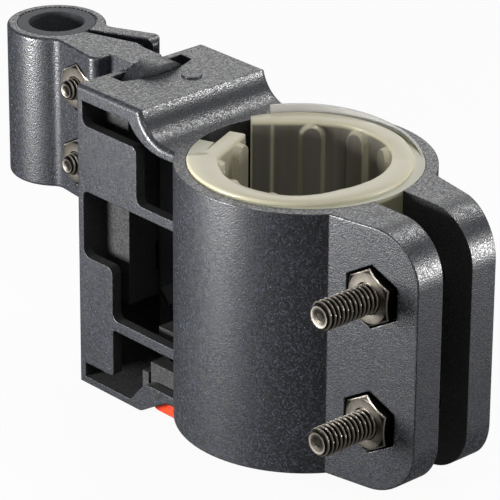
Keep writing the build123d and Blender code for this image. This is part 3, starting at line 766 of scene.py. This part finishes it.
@dataclass
class RibbedLiner:
    """The inner liner as it sits in the ring: a soft C whose two ends have sprung out of the circle.

    Its plan is a path along the inner wall: a straight slab from the near end to a kink, an arc whose
    radius follows a table of angles, and a short straight run to the far end. The section at each
    place is a closed loop of outward distance and height: wall, flange and inner face, where the ribs
    stand out by a rounded step of the distance from each rib's axis. Angles are in degrees round the
    bore, and run on past 360 from the near end to the far end.
    """

    finish: bpy.types.Material
    near_end: Pair = (-17.5, -0.9)
    near_angle: float = 182.9
    far_end: Pair = (-21.2, 3.95)
    # Angle and radius along the inner wall, and along the flange's inner edge.
    arc: tuple[Pair, ...] = (
        (228, 18.2), (238, 18.2), (254, 18.6), (326, 18.6), (360, 18.5), (425, 18.2),
        (451, 18.5), (470, 18.7), (488, 18.4), (501, 18.3),
    )
    flange_edge: tuple[Pair, ...] = (
        (228, 18.2), (246, 18.5), (254, 19.0), (270, 19.5), (290, 20.1), (302, 19.9), (313, 19.4),
        (326, 18.5), (340, 17.4), (360, 17.15), (390, 17.3), (425, 18.1), (451, 18.5), (501, 18.3),
    )
    arc_steps: int = 400
    arc_window: int = 25
    outward_window: int = 7
    step: float = 0.25
    # The flange's outer edge is a circle that leans to the near left, and straight along the slab.
    flange_radius: float = 23.5
    flange_lean: float = 0.8
    flange_rise: float = 0.75
    slab_flange: float = 3.9
    slab_blend: float = 1.0
    slab_lip: float = 0.3
    wall: float = 2.5
    # Outward distance and height of the lip's points from the foot of the flange's outer edge, and
    # of the shoulder's points from the top of its inner edge.
    lip: tuple[Pair, ...] = ((-0.02, 0.0), (0.0, 0.35), (-0.15, 0.62))
    lip_round: float = 0.45
    shoulder: tuple[Pair, ...] = ((0.4, 0.0), (0.12, -0.1), (0.0, -0.35))
    shoulder_foot: float = 0.1
    # The far end rides up over these degrees.
    far_lift: float = 0.6
    lift_from: float = 405.0
    lift_over: float = 30.0
    ribs: int = 10
    first_rib: float = 195.6
    rib_pitch: float = 33.0
    rib_half: float = 2.5
    rib_height: float = 1.5
    rib_drop: float = 0.1
    rib_round: float = 0.35
    # Rows down the inner face: close together round the ribs' tops, and then only a few.
    crown_depth: float = 3.6
    crown_step: float = 0.2
    plain_drops: Triple = (8.0, 20.0, 40.0)
    # Light and shade painted on the flat wall by angle, and highlights painted along each kind of edge over
    # its width.
    wall_light: tuple[Pair, ...] = (
        (183, 0.5), (200, 0.62), (258, 0.5), (300, 0.3), (360, 0.5), (385, 0.42), (430, 0.2),
        (450, 0.06), (500, 0.05), (524, 0.0),
    )
    back_light: float = 0.2
    rib_light: float = 0.8
    rib_light_width: float = 0.3
    rim_light: float = 0.8
    rim_light_depth: float = 0.5
    end_light_width: float = 0.5
    seam_light: float = 0.7
    seam_angle: float = 518.0
    seam_width: float = 1.0

    def plan(self) -> tuple[np.ndarray, np.ndarray, np.ndarray]:
        """Points of the inner wall in plan, with the outward direction and the angle of each.

        Returns:
            Two arrays of x and y, and one of degrees that rise from the near end to the far end.
        """
        degrees = np.linspace(self.arc[0][0], self.arc[-1][0], self.arc_steps)
        radius = smoothed(follow(self.arc, degrees), np.hanning(self.arc_window))
        turn = np.radians(degrees)
        ring = np.stack([radius * np.cos(turn), radius * np.sin(turn)], axis=-1)
        corners = np.vstack([self.near_end, ring, self.far_end])
        run = np.concatenate([[0.0], np.cumsum(np.linalg.norm(np.diff(corners, axis=0), axis=1))])
        along = np.arange(0.0, run[-1], self.step)
        path = np.stack([np.interp(along, run, corners[:, i]) for i in (0, 1)], axis=-1)
        tangent = np.gradient(path, axis=0)
        weights = np.ones(self.outward_window)
        soft = np.stack([smoothed(tangent[:, i], weights) for i in (0, 1)], axis=-1)
        outward = np.stack([soft[:, 1], -soft[:, 0]], axis=-1)
        outward /= np.linalg.norm(outward, axis=1, keepdims=True)
        angle = np.degrees(np.unwrap(np.arctan2(path[:, 1], path[:, 0])))
        return path, outward, angle - angle[0] + self.near_angle

    def reach(self, path: np.ndarray, outward: np.ndarray, past_slab: np.ndarray) -> np.ndarray:
        """Distance from the inner wall out to the flange's outer edge.

        It is where a line along the outward direction leaves the leaning circle, by the formula for a
        line and a circle. Along the slab it is a set width, and the two meet over a short blend.

        Args:
            path: points of the inner wall in plan.
            outward: the outward direction at each.
            past_slab: distance along the wall past the slab's kink, below nought on the slab.

        Returns:
            The distance at each point.
        """
        offset = path + self.flange_lean
        dot = np.sum(offset * outward, axis=1)
        circle = -dot + np.sqrt(dot**2 - np.sum(offset**2, axis=1) + self.flange_radius**2)
        share = np.clip(past_slab / self.slab_blend + 1, 0, 1)
        return self.slab_flange + share * (circle - self.slab_flange)

    def build(self) -> None:
        """Make the liner as one closed shell, with the light and highlights painted on each place."""
        path, outward, angle = self.plan()
        count = len(path)
        along = np.arange(count) * self.step
        past_slab = along - np.interp(self.arc[0][0], angle, along)
        on_slab = past_slab < 0
        reach = self.reach(path, outward, past_slab)
        wall = np.where(on_slab, self.slab_flange - self.slab_lip, self.wall)
        inner = follow(self.flange_edge, angle) - follow(self.arc, angle)
        inner = np.where(on_slab | (angle > self.arc[-1][0]), 0.0, inner)
        top = RING_HALF + self.far_lift * np.clip((angle - self.lift_from) / self.lift_over, 0, 1)
        foot = np.full(count, -RING_HALF)
        zero = np.zeros(count)
        loop = [(zero, foot), (wall, foot), (wall, top)]
        loop += [(reach + out, top + up) for out, up in self.lip]
        loop.append((reach - self.lip_round, top + self.flange_rise))
        loop += [(inner + out, top + self.flange_rise + up) for out, up in self.shoulder]
        loop.append((np.minimum(inner / 2, zero), top + self.shoulder_foot))
        # Painted light: a little on the outer face, and all of it on the flange.
        painted_lights = [np.full(count, self.back_light)] * 2 + [np.ones(count)] * (len(loop) - 2)
        drops = np.append(np.arange(0.0, self.crown_depth, self.crown_step), self.plain_drops)
        rib_runs = np.interp(self.first_rib + self.rib_pitch * np.arange(self.ribs), angle, along)
        aside = np.min(np.abs(along[:, None] - rib_runs[None, :]), axis=1)
        # Painted light and shade on the flat wall, by angle.
        flat = follow(self.wall_light, angle)
        seam = self.seam_light * np.exp(-(((angle - self.seam_angle) / self.seam_width) ** 2))
        ends = np.clip(1 - np.minimum(along, along[-1] - along) / self.end_light_width, 0, 1)
        for drop in drops:
            above = np.clip(self.rib_drop + self.rib_half - drop, 0, None)
            distance = np.hypot(aside, above)
            relief = np.clip((self.rib_half - distance) / self.rib_round + 0.5, 0, 1)
            relief = relief * relief * (3 - 2 * relief)
            loop.append((-self.rib_height * relief, top - drop))
            # Painted highlights along the ribs' edges; the rim, the seam and the ends get them too.
            edge = self.rib_light * np.exp(-(((distance - self.rib_half) / self.rib_light_width) ** 2))
            rim = np.full(count, self.rim_light * np.clip(1 - drop / self.rim_light_depth, 0, 1))
            painted_lights.append(np.max([flat, edge, seam, ends, rim], axis=0))
        out = np.stack([row[0] for row in loop])
        height = np.stack([row[1] for row in loop])
        plan = path[None, :, :] + out[:, :, None] * outward[None, :, :]
        points = np.concatenate([plan, height[:, :, None]], axis=-1).reshape(-1, 3)
        start = np.arange(len(loop)) * count
        faces = grid_faces(len(loop), count, wrap_rows=True)
        faces += [start[::-1].tolist(), (start + count - 1).tolist()]
        light = {"painted_light": np.stack(painted_lights)}
        faces = outwards(points, faces)
        obj = make_mesh("ribbed_inner_liner", points, faces, smooth=50.0, values=light)
        dress(obj, self.finish)
        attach(obj, Body.RECEIVER.value)
        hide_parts("inner_liner")
        log.info("built %s", obj.name)


@dataclass
class ThreadedScrew:
    """A socket-head screw on an axis along -Y, threaded up to its tip.

    The surface is a helix wrapped on a grid: the angle runs round the axis, the height along it, and
    the radius follows a triangular thread of the screw's pitch, cut by a cone at the tip.
    """

    name: str
    axis_x: float
    axis_z: float
    seat_y: float
    tip_y: float
    crest: float
    pitch: float
    thread_length: float
    head_radius: float
    head_height: float
    key_flats: float
    turns: int = 64
    steps_a_pitch: int = 12
    # Depth as a share of the pitch; the wave is stretched and lowered to flatten crests and roots.
    thread_share: float = 0.61
    flank_stretch: float = 1.2
    crest_flat: float = 0.08
    tip_land: float = 0.8
    tip_slope: float = 0.9
    tip_edge: float = 0.2
    # Depth, share of the tip's radius, and wear of each ring of the dished end.
    dish: tuple[Triple, ...] = ((0.22, 0.35, 0.3), (0.08, 0.7, 0.35))
    head_edge: float = 0.45
    seat_edge: float = 0.15
    key_edge: float = 0.25
    key_cone: float = 0.3
    key_cone_share: float = 0.4

    def radius_at(self, along: np.ndarray, angle: np.ndarray) -> tuple[np.ndarray, np.ndarray]:
        """Radius of the thread, a triangle wave of the pitch, and the wear on it.

        Args:
            along: distance back from the tip, in millimetres.
            angle: angle round the axis, in radians.

        Returns:
            The radius at each point, and the wear there, from nought in the root to one on the crest.
        """
        phase = (along / self.pitch - angle / (2 * math.pi)) % 1.0
        wave = np.clip(2 * np.abs(phase - 0.5) * self.flank_stretch - self.crest_flat, 0.0, 1.0)
        wave *= np.clip((self.thread_length - along) / self.pitch, 0.0, 1.0)
        body = self.crest - self.thread_share * self.pitch * wave
        cone = self.crest - self.tip_land + along * self.tip_slope
        return np.minimum(body, cone), (1 - wave) ** 2

    def build(self) -> bpy.types.Object:
        """Make the screw: dished end, thread, shank, head and hexagon socket in one closed surface."""
        angle = np.linspace(0, 2 * math.pi, self.turns, endpoint=False)
        steps = int(self.thread_length / self.pitch * self.steps_a_pitch)
        along = np.linspace(0, self.thread_length + self.pitch, steps)
        grid_along, grid_angle = np.meshgrid(along, angle, indexing="ij")
        radius, wear = self.radius_at(grid_along, grid_angle)
        rings = [(depth, radius[0] * share, worn) for depth, share, worn in self.dish]
        rings.append((0.0, radius[0] - self.tip_edge, 0.9))
        rings += list(zip(grid_along, radius, wear))
        seat = self.seat_y - self.tip_y
        top = seat + self.head_height
        key_foot = top - self.head_height / 2
        edge = self.head_edge
        key = hexagon(self.key_flats, angle)
        rings += [
            (seat, self.crest, 0.2),
            (seat, self.head_radius - self.seat_edge, 0.4),
            (seat + self.seat_edge, self.head_radius, 0.5),
            (top - edge, self.head_radius, 0.4),
            (top - edge * 0.3, self.head_radius - edge * 0.3, 0.9),
            (top, self.head_radius - edge, 0.5),
            (top, key + self.key_edge, 0.5),
            (top - self.key_edge, key, 0.8),
            (key_foot, key, 0.1),
            (key_foot - self.key_cone, key * self.key_cone_share, 0.1),
        ]
        points, worn = turned_points(rings, angle, self.axis_x, self.tip_y, self.axis_z)
        first = np.arange(self.turns)
        last = first + (len(rings) - 1) * self.turns
        faces = grid_faces(len(rings), self.turns, wrap_columns=True)
        faces += [first[::-1].tolist(), last.tolist()]
        faces = outwards(points, faces)
        return make_mesh(self.name, points, faces, smooth=42.0, values={"wear": worn})


@dataclass
class HexNut:
    """A chamfered hexagon nut on an axis along -Y, with a countersunk hole.

    Each ring of points is a hexagon whose corners are cut by a cone, so that the face shows the
    round chamfer of a turned nut.
    """

    name: str
    axis_x: float
    axis_z: float
    face_y: float
    height: float
    flats: float
    hole: float
    turns: int = 96
    face_share: float = 0.96
    cone_degrees: float = 28.0
    cone_depths: tuple[float, ...] = (0.0, 0.05, 0.12, 0.2, 0.3, 0.4, 0.55, 0.75, 1.0)
    cone_wear: float = 0.9
    wear_width: float = 0.35
    face_wear: float = 0.45
    flat_wear: float = 0.2
    countersink: float = 0.6

    def build(self) -> bpy.types.Object:
        """Make the nut as one closed ring of points round its hole, worn bright where the cone ends."""
        angle = np.linspace(0, 2 * math.pi, self.turns, endpoint=False)
        sides = hexagon(self.flats, angle)
        slope = math.tan(math.radians(self.cone_degrees))
        rings = []
        for depth in self.cone_depths:
            cone = self.flats / 2 * self.face_share + depth / slope
            worn = self.flat_wear + self.cone_wear * np.clip(
                1 - np.abs(cone - sides) / self.wear_width, 0, 1
            )
            rings.append((depth, np.minimum(sides, cone), worn if depth else self.face_wear))
        rings += [
            (self.height, sides, self.flat_wear),
            (self.height, self.hole, 0.1),
            (self.countersink, self.hole, 0.0),
            (0.0, self.hole + self.countersink, 0.75),
        ]
        points, wear = turned_points(rings, angle, self.axis_x, self.face_y, self.axis_z)
        faces = grid_faces(len(rings), self.turns, wrap_rows=True, wrap_columns=True)
        faces = outwards(points, faces)
        return make_mesh(self.name, points, faces, smooth=20.0, values={"wear": wear})


@dataclass
class Mouldings:
    """The CAD nodes that keep their own shape, and their finishes."""

    nodes: dict[str, bpy.types.Object]
    finishes: Finishes

    def dress_all(self) -> None:
        """Assign each node its finish; the nodes that aren't named here are the plain fasteners."""
        table = {
            "receiver_body": self.finishes.receiver,
            "lock_clamp": self.finishes.lock,
            "button_slider": self.finishes.receiver,
            "outer_liner": self.finishes.smoked_vinyl,
            "inner_liner": self.finishes.clear_vinyl,
            "lock_liner": self.finishes.rubber,
            "release_button": self.finishes.button,
            "catch_leaf": self.finishes.spring,
            "left_button_spring": self.finishes.spring,
            "right_button_spring": self.finishes.spring,
        }
        for name, obj in self.nodes.items():
            dress(obj, table.get(name, self.finishes.steel))
            log.info("dressed node %s", name)


@dataclass(frozen=True)
class FastenerSize:
    """Sizes of one family of screws and nuts that their boxes in the frame don't give."""

    family: str
    body: Body
    crest: float
    pitch: float
    thread_length: float
    head_height: float
    key_flats: float


@dataclass
class Fasteners:
    """Screws and nuts of both clamps, threaded and chamfered, in the places of the plain CAD ones."""

    steel: bpy.types.Material
    sizes: tuple[FastenerSize, ...] = (
        FastenerSize("clamp", Body.RECEIVER, 3.175, 1.15, 21.0, 6.35, 4.76),
        FastenerSize("lock", Body.LOCK_SIDE, 2.4, 0.95, 12.0, 4.8, 3.95),
    )
    # The nut's hole is smaller than the screw's crest, as a thread's is.
    thread_bite: float = 0.3

    def build_all(self) -> None:
        """Build each screw and nut in the place of its plain CAD node."""
        for size in self.sizes:
            for level in ("upper", "lower"):
                bolt = f"{level}_{size.family}_bolt"
                low, high = (np.array(corner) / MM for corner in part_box(bolt))
                middle = (low + high) / 2
                screw = ThreadedScrew(
                    name=f"{level}_{size.family}_screw",
                    axis_x=middle[0],
                    axis_z=middle[2],
                    seat_y=high[1] - size.head_height,
                    tip_y=low[1],
                    crest=size.crest,
                    pitch=size.pitch,
                    thread_length=size.thread_length,
                    head_radius=(high[0] - low[0]) / 2,
                    head_height=size.head_height,
                    key_flats=size.key_flats,
                ).build()
                self.place(screw, bolt, size.body)
                node = f"{level}_{size.family}_nut"
                low, high = (np.array(corner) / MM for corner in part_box(node))
                nut = HexNut(
                    name=f"{level}_{size.family}_hex",
                    axis_x=middle[0],
                    axis_z=middle[2],
                    face_y=low[1],
                    height=high[1] - low[1],
                    flats=high[0] - low[0],
                    hole=size.crest - self.thread_bite,
                ).build()
                self.place(nut, node, size.body)

    def place(self, obj: bpy.types.Object, node: str, body: Body) -> None:
        """Dress a fastener, let it stand for its node and ride on its body."""
        dress(obj, self.steel)
        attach(obj, body.value)
        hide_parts(node)
        log.info("built %s", obj.name)


@dataclass(frozen=True)
class Lamp:
    """A soft box: its bearing and height angle in degrees, distance and sides in metres, and watts."""

    name: str
    azimuth: float
    elevation: float
    distance: float
    width: float
    height: float
    power: float


@dataclass(frozen=True)
class Studio:
    """Camera solved from the photograph, soft lights, pale floor and white background.

    The camera looks at a point that is shifted, along the picture's right and up, from the middle of
    the ring's lower rim. Its distance and shifts are in millimetres, and so is its lens.
    """

    azimuth: float = 47.482
    elevation: float = 24.483
    roll: float = 0.400
    distance: float = 767.78
    lens: float = 259.87
    sensor: float = 36.0
    shift_right: float = -11.131
    shift_up: float = 34.665
    clip: Pair = (0.01, 20.0)
    floor_z: float = -35.2
    floor_half: float = 3000.0
    floor_grey: float = 0.8
    # Shares of white: what glossy rays see of the background and of the floor, and what the camera
    # sees of the floor's glow.
    mirrored: float = 0.15
    floor_mirrored: float = 0.13
    floor_glow: float = 0.93
    fill: Triple = (0.8, 0.82, 0.85)
    fill_strength: float = 0.1
    lamps: tuple[Lamp, ...] = (
        Lamp("left_strip", -24.0, 4.5, 0.3, 0.1, 0.11, 1.6),
        Lamp("right_strip", 132.0, 5.0, 0.36, 0.15, 0.12, 1.0),
        Lamp("overhead", 182.0, 56.0, 1.1, 0.4, 0.4, 3.6),
        Lamp("front_top", 64.0, 50.0, 1.1, 0.5, 0.5, 2.2),
        Lamp("back", 228.0, 24.0, 1.1, 0.7, 0.5, 1.8),
    )

    @staticmethod
    def bearing(azimuth: float, elevation: float) -> Vector:
        """Unit vector towards a bearing round +Z from -Y, and a height angle, in degrees."""
        a, e = math.radians(azimuth), math.radians(elevation)
        return Vector((math.sin(a) * math.cos(e), -math.cos(a) * math.cos(e), math.sin(e)))

    def camera(self) -> None:
        """Place the camera at the photograph's viewing angle."""
        back = self.bearing(self.azimuth, self.elevation)
        level = self.bearing(self.azimuth + 90, 0)
        upright = back.cross(level)
        cosine, sine = math.cos(math.radians(self.roll)), math.sin(math.radians(self.roll))
        right = level * cosine + upright * sine
        up = upright * cosine - level * sine
        target = right * self.shift_right + up * self.shift_up - Vector((0, 0, RING_HALF))
        place = (target + back * self.distance) * MM
        data = bpy.data.cameras.new("camera")
        data.sensor_width = self.sensor
        data.lens = self.lens
        data.clip_start, data.clip_end = self.clip
        cam = bpy.data.objects.new("camera", data)
        cam.matrix_world = Matrix.Translation(place) @ Matrix((right, up, back)).transposed().to_4x4()
        bpy.context.scene.collection.objects.link(cam)
        bpy.context.scene.camera = cam

    def add_lamp(self, lamp: Lamp) -> None:
        """Add one soft box that faces the object."""
        where = self.bearing(lamp.azimuth, lamp.elevation) * lamp.distance
        data = bpy.data.lights.new(lamp.name, "AREA")
        data.shape = "RECTANGLE"
        data.size, data.size_y = lamp.width, lamp.height
        data.energy = lamp.power
        obj = bpy.data.objects.new(lamp.name, data)
        obj.location = where
        obj.rotation_euler = (-where).to_track_quat("-Z", "Y").to_euler()
        obj.visible_camera = False
        bpy.context.scene.collection.objects.link(obj)

    def background(self) -> None:
        """White background for the camera and through clear things, and soft grey fill for the rest."""
        world = bpy.data.worlds.new("studio")
        bpy.context.scene.world = world
        world.use_nodes = True
        tree = world.node_tree
        tree.nodes.clear()
        rays = add_node(tree, "ShaderNodeLightPath").outputs
        seen = add_node(
            tree,
            "ShaderNodeMath",
            {"operation": "MAXIMUM"},
            {0: rays["Is Camera Ray"], 1: rays["Is Transmission Ray"]},
        ).outputs[0]
        share = add_node(
            tree,
            "ShaderNodeMath",
            {"operation": "MULTIPLY_ADD", "use_clamp": True},
            {0: rays["Is Glossy Ray"], 1: self.mirrored, 2: seen},
        ).outputs[0]
        fill = add_node(
            tree,
            "ShaderNodeBackground",
            inputs={"Color": (*self.fill, 1), "Strength": self.fill_strength},
        ).outputs[0]
        white = add_node(
            tree, "ShaderNodeBackground", inputs={"Color": (1, 1, 1, 1), "Strength": 1.0}
        ).outputs[0]
        mixed = add_node(tree, "ShaderNodeMixShader", inputs={0: share, 1: fill, 2: white}).outputs[0]
        add_node(tree, "ShaderNodeOutputWorld", inputs={"Surface": mixed})

    def floor(self) -> None:
        """Pale floor under the object: white to the camera, dimmer in reflections, and still shadowed."""
        points = np.array([[-1, -1, 0], [1, -1, 0], [1, 1, 0], [-1, 1, 0]]) * self.floor_half
        points[:, 2] = self.floor_z
        floor = make_mesh("floor", points, [[0, 1, 2, 3]])
        mat = bpy.data.materials.new("pale_floor")
        mat.use_nodes = True
        tree = mat.node_tree
        tree.nodes.clear()
        rays = add_node(tree, "ShaderNodeLightPath").outputs
        grey = (self.floor_grey, self.floor_grey, self.floor_grey, 1)
        matt = add_node(tree, "ShaderNodeBsdfDiffuse", inputs={"Color": grey}).outputs[0]
        strength = add_node(
            tree,
            "ShaderNodeMath",
            {"operation": "MULTIPLY_ADD"},
            {0: rays["Is Glossy Ray"], 1: self.floor_mirrored - 1.0, 2: 1.0},
        ).outputs[0]
        glow = add_node(
            tree, "ShaderNodeEmission", inputs={"Color": (1, 1, 1, 1), "Strength": strength}
        ).outputs[0]
        share = add_node(
            tree,
            "ShaderNodeMath",
            {"operation": "MULTIPLY_ADD"},
            {0: rays["Is Camera Ray"], 1: self.floor_glow, 2: rays["Is Glossy Ray"]},
        ).outputs[0]
        mixed = add_node(tree, "ShaderNodeMixShader", inputs={0: share, 1: matt, 2: glow}).outputs[0]
        add_node(tree, "ShaderNodeOutputMaterial", inputs={"Surface": mixed})
        dress(floor, mat)

    def build(self) -> None:
        """Set up the whole studio."""
        bpy.context.scene.view_settings.view_transform = "Standard"
        self.camera()
        for lamp in self.lamps:
            self.add_lamp(lamp)
        self.background()
        self.floor()


def main() -> None:
    """Dress the frame, build the new pieces and set up the studio."""
    logging.basicConfig(level=logging.INFO, format="%(name)s: %(message)s")
    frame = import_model()
    finishes = Finishes()
    Mouldings(frame["nodes"], finishes).dress_all()
    RibbedLiner(finishes.clear_vinyl).build()
    Fasteners(finishes.steel).build_all()
    Studio().build()


if __name__ == "__main__":
    main()
